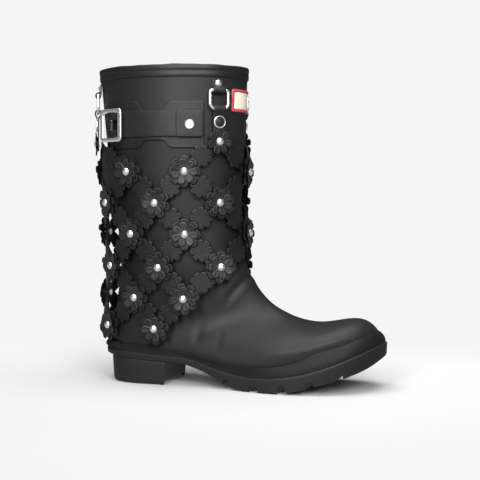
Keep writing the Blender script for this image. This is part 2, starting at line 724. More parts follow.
prof = [(0.12, 288.9), (0.55, 288.55), (1.0, 288.75), (1.22, 289.3), (1.26, 291.0), (1.22, 293.6), (0.86, 294.15), (0.84, 294.5),
        (1.16, 295.0), (1.24, 297.0), (1.18, 298.6), (0.95, 299.5), (0.35, 300.1), (-0.6, 300.35), (-2.2, 300.38), (-3.4, 300.2),
        (-4.1, 299.7), (-4.42, 298.8), (-4.48, 296.5), (-4.48, 292.0), (-4.42, 289.1), (-4.1, 288.6), (-3.3, 288.55),
        (-3.18, 294.0), (-3.18, 299.1), (0.1, 299.1), (0.1, 294.0)]
v, f = sweep_ring(prof[::-1], 420, rim_wave)
make("mouth_band", v, f, "binding_rubber", "boot", ["top_binding"])

# ------------------------------------------------------------------ the sole unit
OUTLINE = [(-66.5, 0), (-63.6, -16), (-52, -28.5), (-30, -34), (0, -34), (30, -34.5), (60, -39.5), (90, -46),
           (116, -49.5), (141, -48.5), (165, -42), (185, -30), (199, -13), (206, 6), (203.5, 23), (192, 38),
           (172, 47), (145, 50.5), (119, 49), (92, 43), (62, 34.5), (32, 30), (5, 31), (-28, 33), (-51, 28.5), (-63.6, 16)]
RAND_TOP = [(-90, 39), (-40, 37.5), (0, 38.5), (18, 37.8), (33, 35), (53, 30.5), (80, 24.5), (97, 23.3), (112, 24.4),
            (133, 29), (142, 33), (152, 37.5), (176, 44), (191, 50), (200, 52.5), (215, 53)]
RAND_LOW = [(-90, 33), (-42, 31), (2, 28), (15, 27.5), (25, 26), (34, 24), (58, 17.5), (78, 14), (89, 13), (104, 13.6),
            (119, 15.3), (138, 18.5), (150, 22), (164, 26.5), (178, 32), (192, 37.5), (202, 42), (215, 46)]
BLOCK_TOP = [(-90, 29), (-47, 26), (-32, 24), (-10, 22.3), (8, 21.8), (20, 21), (34, 17.5), (48, 12.5), (56, 8.5), (62, 5.5),
             (72, 2.4), (84, 0.6), (96, 0.0), (108, 0.1), (118, 0.7), (127, 1.8), (136, 3.8), (152, 8.3), (166, 12.0),
             (179, 16.5), (194, 23.0), (202, 28.5), (215, 40)]
LUGS = (66.3, 93.4, 120.2, 146.1, 171.3)


def outline(inset, count):
    """The sole's outline, evenly sampled, with inward normals."""
    n = len(OUTLINE)
    pts = []
    for i in range(n):
        q, a, b = OUTLINE[i], OUTLINE[i - 1], OUTLINE[(i + 1) % n]
        tx, ty = b[0] - a[0], b[1] - a[1]
        ln = math.hypot(tx, ty)
        pts.append((q[0] - ty / ln * inset, q[1] + tx / ln * inset))
    pts = np.array(pts)
    poles = pts.copy()
    for _ in range(80):
        poles = (pts * 6 - np.roll(poles, 1, 0) - np.roll(poles, -1, 0)) / 4
        # the same relaxation keeps the loop through its points
    k = 60
    out = []
    for i in range(n):
        p0, p1, p2, p3 = poles[i - 1], poles[i], poles[(i + 1) % n], poles[(i + 2) % n]
        for j in range(k):
            t = j / k
            out.append(((1 - t)**3 * p0 + (3 * t**3 - 6 * t * t + 4) * p1 + (-3 * t**3 + 3 * t * t + 3 * t + 1) * p2 + t**3 * p3) / 6)
    out = np.array(out)
    seg = np.linalg.norm(np.roll(out, -1, 0) - out, axis=1)
    acc = np.concatenate([[0], np.cumsum(seg)])
    tgt = np.linspace(0, acc[-1], count, endpoint=False)
    x = np.interp(tgt, acc, np.append(out[:, 0], out[0, 0]))
    y = np.interp(tgt, acc, np.append(out[:, 1], out[0, 1]))
    q = np.stack([x, y], 1)
    tan = np.roll(q, -2, 0) - np.roll(q, 2, 0)
    nin = np.stack([-tan[:, 1], tan[:, 0]], 1)
    nin /= np.linalg.norm(nin, axis=1, keepdims=True)
    if ((np.array([70.0, 0]) - q) * nin).sum() < 0:
        nin = -nin
    return q, nin


def tube(rows, count, cols):
    """Faces for a ring of closed profiles: rows index the outline, cols the profile."""
    f = []
    for i in range(count):
        k = (i + 1) % count
        for j in range(cols):
            l = (j + 1) % cols
            f.append((i * cols + j, i * cols + l, k * cols + l, k * cols + j))
    return f


def smooth_ring(a, times):
    for _ in range(times):
        a = 0.5 * a + 0.25 * (np.roll(a, 1) + np.roll(a, -1))
    return a


def build_rand():
    cnt = 900
    q, nin = outline(1.5, cnt)
    zt = np.array([at(RAND_TOP, x) for x in q[:, 0]])
    zl = np.array([at(RAND_LOW, x) for x in q[:, 0]])
    # how far in the rubber of the upper stands at the band's top and foot
    def depth(zs, back):
        out = np.zeros(cnt)
        for i in range(cnt):
            o = Vector((q[i, 0], q[i, 1], zs[i])) - Vector((nin[i, 0], nin[i, 1], 0)) * 6
            hit = UPPER.ray_cast(o * MM, Vector((nin[i, 0], nin[i, 1], 0)))
            out[i] = (hit[3] / MM - 6) if hit[0] is not None else back
        return out
    ht = smooth_ring(np.clip(depth(zt - 0.4, 6.0), 0.3, 12.0), 14)
    hm = smooth_ring(np.clip(depth((zt + zl) / 2, 5.0), 0.3, 12.0), 14)
    hl = smooth_ring(np.clip(depth(zl + 0.6, 5.0), 0.5, 12.0), 14)
    proud = 1.5
    H = np.clip(ht - proud, -0.6, 12.0)
    rows = []
    for t, k in ((0.0, 0.10), (0.02, 0.0), (0.08, -0.02), (0.25, 0.02), (0.45, 0.12), (0.62, 0.30), (0.78, 0.55), (0.90, 0.80), (0.955, 0.93)):
        z = zl + (zt - zl) * t
        rows.append((H * k, z))
    rows.append((H * 1.0, zt - 0.22))
    rows.append((H + 0.16, zt - 0.02))
    rows.append((H + 0.5, zt + 0.03))
    rows.append((ht + 0.35, zt - 0.15))
    rows.append((hm + 0.9, (zt + zl) / 2))
    rows.append((hl + 0.9, zl + 0.4))
    rows.append((np.clip(hl, 1.5, 9) * 0.5, zl + 0.02))
    v = []
    for i in range(cnt):
        for a, z in rows:
            v.append(((q[i, 0] + nin[i, 0] * a[i]) * MM, (q[i, 1] + nin[i, 1] * a[i]) * MM, z[i] * MM))
    return make("rand_band", v, tube(None, cnt, len(rows)), "rand_rubber", "boot", ["rand"], auto=50)


build_rand()


def groove(x, y):
    """How far the tread is cut up at a place on the forefoot."""
    d = 0.0
    for c in LUGS:
        w = 3.2 + 0.35 * math.sin(y * 0.09 + c) + 1.0 * max(0.0, min(1.0, (abs(y) - 22) / 12))
        k = max(0.0, min(1.0, (w - abs(x - c)) / 1.0))
        d = max(d, 5.3 * k * k * (3 - 2 * k))
    if 66 < x < 186:
        for c in (-15.0, 16.0):
            k = max(0.0, min(1.0, (2.0 - abs(y - c)) / 0.9))
            d = max(d, 3.0 * k * k * (3 - 2 * k))
    return d


def build_outsole():
    cnt = 1240
    q, nin = outline(0.0, cnt)
    x, y = q[:, 0], q[:, 1]
    zt = np.array([at(RAND_LOW, a) for a in x])
    zb = np.array([at(BLOCK_TOP, a) for a in x])
    cut = np.array([groove(a, b) for a, b in q])
    lift = np.clip((zt - zb), 2.0, 30.0)
    v, rows = [], []
    # side wall, from the lip at the top down to the tread's edge
    side = [(4.0, 1.0, -0.02), (1.6, 1.0, 0.0), (0.7, 1.0, -0.05), (0.22, 0.975, 0), (0.0, 0.93, 0), (0.0, 0.80, 0), (0.12, 0.60, 0), (0.28, 0.40, 0), (0.35, 0.22, 0)]
    for inset, t, dz in side:
        z = zb + (zt - zb) * t + dz
        z = np.maximum(z, zb + cut + 0.4 + 0.02 * (10 * t))
        rows.append((np.full(cnt, inset), z))
    rows.append((np.full(cnt, 0.5), zb + cut + 0.55))
    rows.append((np.full(cnt, 0.95), zb + cut + 0.12))
    spine_x = np.clip(x, -58, 186)
    spine_y = np.interp(spine_x, [-74, 0, 60, 120, 180, 206], [0, -1.5, -2.0, 0.5, 5, 7])
    for inset, z in rows:
        for i in range(cnt):
            v.append(((x[i] + nin[i, 0] * inset[i]) * MM, (y[i] + nin[i, 1] * inset[i]) * MM, z[i] * MM))
    nr = len(rows)
    f = []
    for j in range(nr - 1):
        for i in range(cnt):
            k = (i + 1) % cnt
            f.append((j * cnt + i, j * cnt + k, (j + 1) * cnt + k, (j + 1) * cnt + i))
    # the tread, drawn in towards the middle
    prev = (nr - 1) * cnt
    start_x, start_y = x + nin[:, 0] * 1.3, y + nin[:, 1] * 1.3
    steps = np.linspace(0, 1, 30)[:-1]
    for r in steps:
        base = len(v)
        for i in range(cnt):
            px = start_x[i] + (spine_x[i] - start_x[i]) * r
            py = start_y[i] + (spine_y[i] - start_y[i]) * r
            v.append((px * MM, py * MM, (at(BLOCK_TOP, px) + groove(px, py)) * MM))
        for i in range(cnt):
            k = (i + 1) % cnt
            f.append((prev + i, prev + k, base + k, base + i))
        prev = base
    # the halves meet on the spine
    base = len(v)
    sp = {}
    for i in range(cnt):
        key = (round(spine_x[i], 2), round(spine_y[i], 2))
        if key not in sp:
            sp[key] = len(v)
            v.append((spine_x[i] * MM, spine_y[i] * MM, (at(BLOCK_TOP, spine_x[i]) + groove(spine_x[i], spine_y[i])) * MM))
    ids = [sp[(round(spine_x[i], 2), round(spine_y[i], 2))] for i in range(cnt)]
    for i in range(cnt):
        k = (i + 1) % cnt
        if ids[i] == ids[k]:
            f.append((prev + i, prev + k, ids[i]))
        else:
            f.append((prev + i, prev + k, ids[k], ids[i]))
    # closed at the top, inside the boot's form
    prev = 0
    for r in (0.3, 0.65):
        base = len(v)
        for i in range(cnt):
            px = x[i] + nin[i, 0] * 4 + (spine_x[i] - x[i]) * r
            py = y[i] + nin[i, 1] * 4 + (spine_y[i] - y[i]) * r
            v.append((px * MM, py * MM, (at(RAND_LOW, px) - 0.8) * MM))
        for i in range(cnt):
            k = (i + 1) % cnt
            f.append((prev + k, prev + i, base + i, base + k))
        prev = base
    sp2 = {}
    for i in range(cnt):
        key = (round(spine_x[i], 2), round(spine_y[i], 2))
        if key not in sp2:
            sp2[key] = len(v)
            v.append((spine_x[i] * MM, spine_y[i] * MM, (at(RAND_LOW, spine_x[i]) - 0.8) * MM))
    ids = [sp2[(round(spine_x[i], 2), round(spine_y[i], 2))] for i in range(cnt)]
    for i in range(cnt):
        k = (i + 1) % cnt
        if ids[i] == ids[k]:
            f.append((prev + k, prev + i, ids[i]))
        else:
            f.append((prev + k, prev + i, ids[i], ids[k]))
    return make("tread_sole", v, f, "sole_rubber", "boot", ["outsole"], auto=42)


build_outsole()


def build_heel():
    q, nin = outline(0.6, 1400)
    # the back part of the outline, then a hollow breast across the front
    keep = [i for i in range(len(q)) if q[i, 0] < 3.2]
    # start at the lateral front corner and go round the back to the inner corner
    lat = [i for i in keep if q[i, 1] < 0]
    med = [i for i in keep if q[i, 1] >= 0]
    lat.sort(key=lambda i: -q[i, 0])
    med.sort(key=lambda i: q[i, 0])
    loop = [tuple(q[i]) for i in lat[::3]] + [tuple(q[i]) for i in med[::3]]
    a, b = loop[-1], loop[0]
    n = 46
    for j in range(1, n):
        t = j / n
        yv = a[1] + (b[1] - a[1]) * t
        dish = 4.2 * math.sin(math.pi * t) ** 0.7
        loop.append((a[0] + (b[0] - a[0]) * t - dish, yv))
    loop = np.array(loop)
    seg = np.linalg.norm(np.roll(loop, -1, 0) - loop, axis=1)
    acc = np.concatenate([[0], np.cumsum(seg)])
    cnt = 420
    tgt = np.linspace(0, acc[-1], cnt, endpoint=False)
    lx = np.interp(tgt, acc, np.append(loop[:, 0], loop[0, 0]))
    ly = np.interp(tgt, acc, np.append(loop[:, 1], loop[0, 1]))
    lx, ly = smooth_ring(lx, 5), smooth_ring(ly, 5)
    lx = np.where(lx < -15, -15 + (lx + 15) * 0.905, lx)
    ly = ly * (1 - 0.05 * np.clip((-20 - lx) / 40, 0, 1))
    tan = np.stack([np.roll(lx, -2) - np.roll(lx, 2), np.roll(ly, -2) - np.roll(ly, 2)], 1)
    nn = np.stack([-tan[:, 1], tan[:, 0]], 1)
    nn /= np.linalg.norm(nn, axis=1, keepdims=True)
    if ((np.array([-34.0, 0]) - np.stack([lx, ly], 1)) * nn).sum() < 0:
        nn = -nn
    zt = np.array([at(BLOCK_TOP, a) - 0.05 for a in lx])
    v, f = [], []
    levels = [(1.00, 0.35), (0.985, 0.1), (0.955, 0.0), (0.8, 0.12), (0.6, 0.4), (0.4, 0.75), (0.24, 1.05), (0.16, 1.2), (0.10, 1.45), (0.055, 1.9), (0.02, 2.6), (0.0, 3.6)]
    for t, ins in levels:
        for i in range(cnt):
            v.append(((lx[i] + nn[i, 0] * ins) * MM, (ly[i] + nn[i, 1] * ins) * MM, zt[i] * t * MM))
    for j in range(len(levels) - 1):
        for i in range(cnt):
            k = (i + 1) % cnt
            f.append((j * cnt + i, j * cnt + k, (j + 1) * cnt + k, (j + 1) * cnt + i))
    cx, cy = -34.0, 0.0
    for base, flip, top in (((len(levels) - 1) * cnt, False, False), (0, True, True)):
        prev = base
        for r in (0.12, 0.3, 0.5, 0.7, 0.88):
            bb = len(v)
            for i in range(cnt):
                ins = levels[-1][1] if not top else levels[0][1]
                px = (lx[i] + nn[i, 0] * ins) * (1 - r) + cx * r
                py = (ly[i] + nn[i, 1] * ins) * (1 - r) + cy * r
                z = 0.0
                if top:
                    z = at(BLOCK_TOP, px) - 0.05
                else:
                    # a shallow cross-hatched tread in the heel
                    inner = max(0.0, min(1.0, (r - 0.2) * 8))
                    z = 1.2 * inner if (int((px + 100) // 6.5) % 2 == 0) else 0.0
                v.append((px * MM, py * MM, z * MM))
            for i in range(cnt):
                k = (i + 1) % cnt
                face = (prev + i, prev + k, bb + k, bb + i)
                f.append(face[::-1] if flip else face)
            prev = bb
        c = len(v)
        v.append((cx * MM, cy * MM, (at(BLOCK_TOP, cx) - 0.05 if top else 0.0) * MM))
        for i in range(cnt):
            k = (i + 1) % cnt
            face = (prev + i, prev + k, c)
            f.append(face[::-1] if flip else face)
    return make("heel_lift", v, f, "sole_rubber", "boot", ["heel_block"], auto=42)


build_heel()


def build_spur():
    q, nin = outline(1.5, 1400)
    idx = [i for i in range(len(q)) if q[i, 0] < -44.0]
    lat = sorted([i for i in idx if q[i, 1] < 0], key=lambda i: -q[i, 0])
    med = sorted([i for i in idx if q[i, 1] >= 0], key=lambda i: q[i, 0])
    idx = lat[::3] + med[::3]
    v, f = [], []
    prof = [(-0.4, 41.8), (0.5, 40.6), (1.9, 38.9), (3.35, 37.0), (3.75, 36.2), (3.7, 35.4), (3.0, 34.2), (1.6, 32.4), (0.5, 31.3), (-0.5, 30.9), (-1.2, 33.0), (-1.2, 39.0)]
    m = len(prof)
    for i in idx:
        xx = q[i, 0]
        k = max(0.0, min(1.0, (-46.0 - xx) / 24.0))
        k = k * k * (3 - 2 * k)
        zoff = 36.2 + (at(RAND_LOW, xx) - 32.4) * 0.5
        for o, z in prof:
            out = o * k if o > 0 else o
            zz = 36.2 + (z - 36.2) * (0.45 + 0.55 * k)
            v.append(((q[i, 0] - nin[i, 0] * out) * MM, (q[i, 1] - nin[i, 1] * out) * MM, zz * MM))
    n = len(idx)
    for i in range(n - 1):
        for j in range(m):
            l = (j + 1) % m
            f.append((i * m + j, (i + 1) * m + j, (i + 1) * m + l, i * m + l))
    f.append(tuple(range(m)))
    f.append(tuple((n - 1) * m + j for j in reversed(range(m))))
    return make("kick_spur", v, f, "rand_rubber", "boot", ["heel_spur"], auto=60)


build_spur()


# ------------------------------------------------------------------ plates that lie on the leg
def plate(name, phis, low, high, off0, off1, slot, body, replaces=(), edge=0.5, nv=12, cast=leg_point, emboss=None, holes=None):
    """A closed plate round the leg with rounded edges and ends; low and high are functions of the angle."""
    loop = []
    mid = 0.5 * (off0 + off1)
    e = min(edge, (off1 - off0) * 0.5)
    arcs = 5
    # (fraction of height, shift in level, distance)
    for j in range(nv + 1):
        loop.append(("face", j / nv))
    v, f = [], []
    secs = []
    n = len(phis)
    for i, ph in enumerate(phis):
        secs.append((ph, 0.0))
    # arc length from each end in mm
    pts = [cast(ph, 0.5 * (low(ph) + high(ph)), off1)[0] for ph in phis]
    acc = [0.0]
    for a, b in zip(pts[:-1], pts[1:]):
        acc.append(acc[-1] + (b - a).length)
    total = acc[-1]
    cols = 0
    for i, ph in enumerate(phis):
        d = min(acc[i], total - acc[i])
        k = 1.0
        if d < e:
            k = math.sqrt(max(0.0, 1 - (1 - d / e) ** 2))
        o1 = off0 + (off1 - off0) * (0.35 + 0.65 * k)
        zl, zh = low(ph), high(ph)
        # corners rounded in plan
        rc = 1.6
        if d < rc:
            c = rc - math.sqrt(max(0.0, rc * rc - (rc - d) ** 2))
            zl, zh = zl + c, zh - c
        prof = []
        ee = min(e, (o1 - off0) * 0.7)
        for a in range(arcs + 1):
            t = math.pi / 2 * a / arcs
            prof.append((zl + ee * (1 - math.sin(t)), o1 - ee * (1 - math.cos(t)) if False else off0 + (o1 - off0 - ee) + ee * math.sin(t) if a else o1 - ee))
        prof = []
        prof.append((zl, off0))
        prof.append((zl, o1 - ee))
        prof.append((zl + ee * 0.29, o1 - ee * 0.29))
        for j in range(nv + 1):
            z = zl + ee + (zh - zl - 2 * ee) * j / nv
            add = 0.0
            if emboss:
                add = emboss(ph, z, zl, zh, d)
            prof.append((z, o1 + add))
        prof.append((zh - ee * 0.29, o1 - ee * 0.29))
        prof.append((zh, o1 - ee))
        prof.append((zh, off0))
        cols = len(prof)
        for z, o in prof:
            v.append(cast(ph, z, o)[0] * MM)
    for i in range(n - 1):
        for j in range(cols):
            l = (j + 1) % cols
            f.append((i * cols + j, (i + 1) * cols + j, (i + 1) * cols + l, i * cols + l))
    f.append(tuple(reversed(range(cols))))
    f.append(tuple((n - 1) * cols + j for j in range(cols)))
    return make(name, v, f, slot, body, replaces, auto=48)


def spread(a, b, n, tight=0.25):
    """Angles from a to b, packed closer at both ends."""
    out = []
    ends = [0, 0.0006, 0.0018, 0.0036, 0.006, 0.009, 0.013, 0.018]
    core = [0.018 + (1 - 0.036) * i / n for i in range(1, n)]
    allp = ends + core + [1 - x for x in reversed(ends)]
    return [a + (b - a) * t for t in allp]


def phi_to_x(ph, z=245.0):
    return leg_point(ph, z, 1.0)[0].x


BOW_LOW = [(-66, 223), (-19.5, 223), (-17.8, 223.2), (-16.2, 224.0), (-11.4, 229.2), (-10, 230.0), (-8.4, 230.3), (6.4, 230.3), (8, 230.0), (9.4, 229.2),
           (13.4, 224.4), (15, 223.3), (16.6, 223), (52, 223)]
BOW_HIGH = [(-66, 267), (-20.5, 267), (-18.8, 266.8), (-17.2, 266.0), (-12.4, 259.2), (-11, 258.4), (-9.4, 258.2), (6.4, 258.2), (8, 258.5), (9.2, 259.4),
            (13.6, 265.2), (15, 266.2), (16.6, 266.5), (52, 266.5)]


def lin(table, x):
    return float(np.interp(x, [a for a, _ in table], [b for _, b in table]))


def patch_emboss(ph, z, zl, zh, d):
    e = min(z - zl, zh - z, d)
    k = 0.0 if ph < -143 else 1.0
    return 0.16 * k * math.exp(-((e - 1.1) / 0.6) ** 2) - 0.10 * math.exp(-((e - 2.6) / 0.5) ** 2)


plate("strap_bed", spread(-157.5, -42.2, 190), lambda a: lin(BOW_LOW, phi_to_x(a)), lambda a: lin(BOW_HIGH, phi_to_x(a)), 0.0, 1.32,
      "strap_leather", "boot", ["strap_patch"], edge=0.55, nv=34, emboss=patch_emboss)

STRAP_LOW, STRAP_HIGH = 233.5, 257.5


def strap_emboss(ph, z, zl, zh, d):
    e = min(z - zl, zh - z)
    return -0.10 * math.exp(-((e - 1.7) / 0.35) ** 2) + 0.05 * math.sin(ph * 0.35) * math.cos(z * 0.12)


plate("strap_band", spread(-136.2, -50.2, 120), lambda a: STRAP_LOW, lambda a: STRAP_HIGH, 1.6, 3.28, "strap_leather", "strap_and_buckle", (),
      edge=0.75, nv=22, emboss=strap_emboss)
plate("strap_front_tab", spread(-68.0, -44.0, 40), lambda a: STRAP_LOW - 0.4, lambda a: STRAP_HIGH + 0.4, 3.4, 4.88, "strap_leather",
      "strap_and_buckle", ["strap_tab"], edge=0.7, nv=20,
      emboss=lambda ph, z, zl, zh, d: -0.12 * math.exp(-((min(z - zl, zh - z, d) - 1.8) / 0.35) ** 2))
plate("label_plate_face", spread(-15.8, 15.8, 60), lambda a: 260.25, lambda a: 275.75, 0.1, 1.0, "label_cream", "boot", ["label_face"], edge=0.3, nv=10)


def build_label_border():
    """A raised frame round the blank label, with rounded corners."""
    v, f = [], []
    lo, hi, ed, hd = 257.5, 278.5, 2.7, 18.5
    # walk round the frame; s runs along the loop, the profile runs across the rim
    path = []
    per_deg = 1.15
    w, h = hd, (hi - lo) / 2
    zc = (hi + lo) / 2
    loops = []
    for ins, off in ((0.0, 0.1), (0.0, 1.0), (0.22, 1.32), (0.8, 1.46), (1.35, 1.48), (1.9, 1.44), (2.45, 1.28), (2.7, 0.95), (2.7, 0.1)):
        rad = max(0.35, 2.0 - ins)
        hw, hh = (hd * per_deg) - ins, h - ins
        ring = []
        for cxs, cys, a0 in ((1, 1, 0), (-1, 1, 90), (-1, -1, 180), (1, -1, 270)):
            for k in range(9):
                a = math.radians(a0 + 90 * k / 8)
                ring.append((cxs * (hw - rad) + rad * math.cos(a), cys * (hh - rad) + rad * math.sin(a)))
            # straight run to the next corner
            nx = {(1, 1): (-1, 1), (-1, 1): (-1, -1), (-1, -1): (1, -1), (1, -1): (1, 1)}[(cxs, cys)]
            a = math.radians(a0 + 90)
            p0 = (cxs * (hw - rad) + rad * math.cos(a), cys * (hh - rad) + rad * math.sin(a))
            p1 = (nx[0] * (hw - rad) + rad * math.cos(a), nx[1] * (hh - rad) + rad * math.sin(a))
            for k in range(1, 24):
                t = k / 24
                ring.append((p0[0] + (p1[0] - p0[0]) * t, p0[1] + (p1[1] - p0[1]) * t))
        loops.append((ring, off))
    cnt = len(loops[0][0])
    for ring, off in loops:
        for s, z in ring:
            v.append(leg_point(s / per_deg, zc + z, off)[0] * MM)
    m = len(loops)
    for j in range(m):
        l = (j + 1) % m
        for i in range(cnt):
            k = (i + 1) % cnt
            f.append((j * cnt + i, j * cnt + k, l * cnt + k, l * cnt + i))
    make("label_plate_border", v, f, "label_red", "boot", ["label_border"], auto=50)


build_label_border()

# the strap's end wraps the buckle's pin in two loops
BP, BN = leg_point(-140.0, 245.5, 0)
BT = BN.cross(Vector((0, 0, 1)))
UP = Vector((0, 0, 1))


def ribbon(name, path, width, thick, origin, t, n, slot, body, replaces=(), z0=None, edge=0.4, closed=False):
    """A strip of width along t, following a path in the (n, z) plane."""
    pts = [Vector((a, b, 0)) for a, b in path]
    dense = []
    for i in range(len(pts) - 1):
        p0 = pts[max(i - 1, 0)]
        p1, p2 = pts[i], pts[i + 1]
        p3 = pts[min(i + 2, len(pts) - 1)]
        for k in range(5):
            u = k / 5
            dense.append(0.5 * ((2 * p1) + (-p0 + p2) * u + (2 * p0 - 5 * p1 + 4 * p2 - p3) * u * u + (-p0 + 3 * p1 - 3 * p2 + p3) * u**3))
    dense.append(pts[-1])
    v, f = [], []
    w, h = width / 2, thick / 2
    e = min(edge, h * 0.95)
    prof = []
    nw = 8
    for j in range(nw + 1):
        prof.append((-w + e + (2 * w - 2 * e) * j / nw, h))
    prof += [(w - e * 0.29, h - e * 0.29), (w, h - e), (w, -h + e), (w - e * 0.29, -h + e * 0.29)]
    for j in range(nw + 1):
        prof.append((w - e - (2 * w - 2 * e) * j / nw, -h))
    prof += [(-w + e * 0.29, -h + e * 0.29), (-w, -h + e), (-w, h - e), (-w + e * 0.29, h - e * 0.29)]
    m = len(prof)
    for i, p in enumerate(dense):
        a = dense[max(i - 1, 0)]
        b = dense[min(i + 1, len(dense) - 1)]
        d = (b - a).normalized()
        nn = Vector((-d.y, d.x, 0))
        shrink = 1.0
        if i == 0 or i == len(dense) - 1:
            shrink = 0.55
        run = min((p - dense[0]).length, 99.0)
        rc = 3.2
        if run < rc:
            narrow = (w - rc + math.sqrt(max(0.0, rc * rc - (rc - run) ** 2))) / w
        else:
            narrow = 1.0
        for s, o in prof:
            s = s * narrow
            q = p + nn * o * shrink
            v.append((origin + t * (s * (1 - (1 - shrink) * 0.12)) + n * q.x + Vector((0, 0, 1)) * q.y) * MM)
    for i in range(len(dense) - 1):
        for j in range(m):
            l = (j + 1) % m
            f.append((i * m + j, i * m + l, (i + 1) * m + l, (i + 1) * m + j))
    f.append(tuple(reversed(range(m))))
    f.append(tuple((len(dense) - 1) * m + j for j in range(m)))
    return make(name, v, f, slot, body, replaces, auto=45)


def strap_loop(name, z0, z1, replaces=()):
    """From under the buckle's front bar the strap curls over the pin."""
    c = 5.3
    rad = 1.3 + 0.75
    path = []
    # path in local (along the leg towards the front, outward)
    for a in (0,):
        pass
    pts = [(-9.0, 2.5), (-6.5, 2.75), (-4.0, 3.05), (-2.2, 3.2), (0.0, c - rad), (2.2, 3.6), (4.0, 4.15), (5.2, 4.9), (5.5, 5.6),
           (4.8, 6.3), (2.8, 6.95), (0.0, c + rad), (-2.2, c + 1.75), (-4.6, c + 0.95), (-6.8, 5.35), (-8.9, 4.65)]
    pts = [Vector((a, b, 0)) for a, b in pts]
    dense = []
    for i in range(len(pts) - 1):
        p0, p1, p2, p3 = pts[max(i - 1, 0)], pts[i], pts[i + 1], pts[min(i + 2, len(pts) - 1)]
        for k in range(5):
            u = k / 5
            dense.append(0.5 * ((2 * p1) + (-p0 + p2) * u + (2 * p0 - 5 * p1 + 4 * p2 - p3) * u * u + (-p0 + 3 * p1 - 3 * p2 + p3) * u**3))
    dense.append(pts[-1])
    v, f = [], []
    h = 0.68
    e = 0.4
    zs = [(z0 + e, h), (z0 + (z1 - z0) * 0.5, h), (z1 - e, h), (z1 - 0.1, h * 0.7), (z1, 0), (z1 - 0.1, -h * 0.7), (z1 - e, -h), (z0 + (z1 - z0) * 0.5, -h), (z0 + e, -h), (z0 + 0.1, -h * 0.7), (z0, 0), (z0 + 0.1, h * 0.7)]
    m = len(zs)
    for i, p in enumerate(dense):
        a, b = dense[max(i - 1, 0)], dense[min(i + 1, len(dense) - 1)]
        d = (b - a).normalized()
        nn = Vector((-d.y, d.x, 0))
        for z, o in zs:
            q = p + nn * o
            w = BP + BT * q.x + BN * q.y
            v.append(Vector((w.x, w.y, z)) * MM)
    for i in range(len(dense) - 1):
        for j in range(m):
            l = (j + 1) % m
            f.append((i * m + j, i * m + l, (i + 1) * m + l, (i + 1) * m + j))
    f.append(tuple(reversed(range(m))))
    f.append(tuple((len(dense) - 1) * m + j for j in range(m)))
    return make(name, v, f, "strap_leather", "strap_and_buckle", replaces, auto=45)




def rounded_loop(hw, hh, rad, straight=10, arc=8):
    pts = []
    corners = [(1, 1, 0), (-1, 1, 90), (-1, -1, 180), (1, -1, 270)]
    for n, (sx, sz, a0) in enumerate(corners):
        for k in range(arc + 1):
            a = math.radians(a0 + 90 * k / arc)
            pts.append((sx * (hw - rad) + rad * math.cos(a), sz * (hh - rad) + rad * math.sin(a)))
        nx, nz, _ = corners[(n + 1) % 4]
        a = math.radians(a0 + 90)
        p0 = (sx * (hw - rad) + rad * math.cos(a), sz * (hh - rad) + rad * math.sin(a))
        p1 = (nx * (hw - rad) + rad * math.cos(a), nz * (hh - rad) + rad * math.sin(a))
        for k in range(1, straight):
            t = k / straight
            pts.append((p0[0] + (p1[0] - p0[0]) * t, p0[1] + (p1[1] - p0[1]) * t))
    return pts


def build_buckle():
    """A cast frame with rounded bars and a pin down its middle."""
    c = 5.3
    v, f = [], []
    loops = []
    insets = []
    for ins, y in ((0.0, -0.4), (0.0, 0.45), (0.18, 0.8), (0.6, 1.08), (1.3, 1.19), (2.1, 1.2), (2.9, 1.17), (3.55, 1.0), (4.0, 0.65),
                   (4.15, 0.3), (4.15, -0.4), (3.95, -0.62), (3.5, -0.76), (2.1, -0.78), (0.7, -0.76), (0.2, -0.62)):
        loops.append((rounded_loop(15.5 - ins, 15.5 - ins, max(1.0, 4.2 - ins * 0.7)), y))
        insets.append(ins)
    cnt = len(loops[0][0])
    for (ring, y), ins in zip(loops, insets):
        for a, z in ring:
            if a > 0:
                a *= 18.2 / 15.5
            else:
                a += 1.1 * ins / 4.15 * min(1.0, max(0.0, (-a / (15.5 - ins) - 0.55) / 0.4))
            v.append((BP + BT * a + BN * (c + y) + UP * z) * MM)
    m = len(loops)
    for j in range(m):
        l = (j + 1) % m
        for i in range(cnt):
            k = (i + 1) % cnt
            f.append((j * cnt + i, j * cnt + k, l * cnt + k, l * cnt + i))
    base = len(v)
    seg = 28
    zs = [-13.4, -13.0, -6.0, 0.0, 6.0, 13.0, 13.4]
    for z in zs:
        r = 1.2 if abs(z) < 13.2 else 0.9
        for i in range(seg):
            a = 2 * math.pi * i / seg
            v.append((BP + BT * (r * math.cos(a)) + BN * (c + r * math.sin(a) * 0.94) + UP * z) * MM)
    for j in range(len(zs) - 1):
        for i in range(seg):
            k = (i + 1) % seg
            f.append((base + j * seg + i, base + j * seg + k, base + (j + 1) * seg + k, base + (j + 1) * seg + i))
    f.append(tuple(base + i for i in reversed(range(seg))))
    f.append(tuple(base + (len(zs) - 1) * seg + i for i in range(seg)))
    return make("cast_buckle", v, f, "bright_metal", "strap_and_buckle", ["buckle_frame"], auto=50)


build_buckle()
strap_loop("strap_loop_upper", 245.5 + 4.6, STRAP_HIGH, ["strap"])
strap_loop("strap_loop_lower", STRAP_LOW, 245.5 - 4.6)

# ------------------------------------------------------------------ the hangers
HANGERS = [(1, -31.0), (2, 30.0), (3, 90.0), (4, 150.0), (5, 193.0)]
UP = Vector((0, 0, 1))


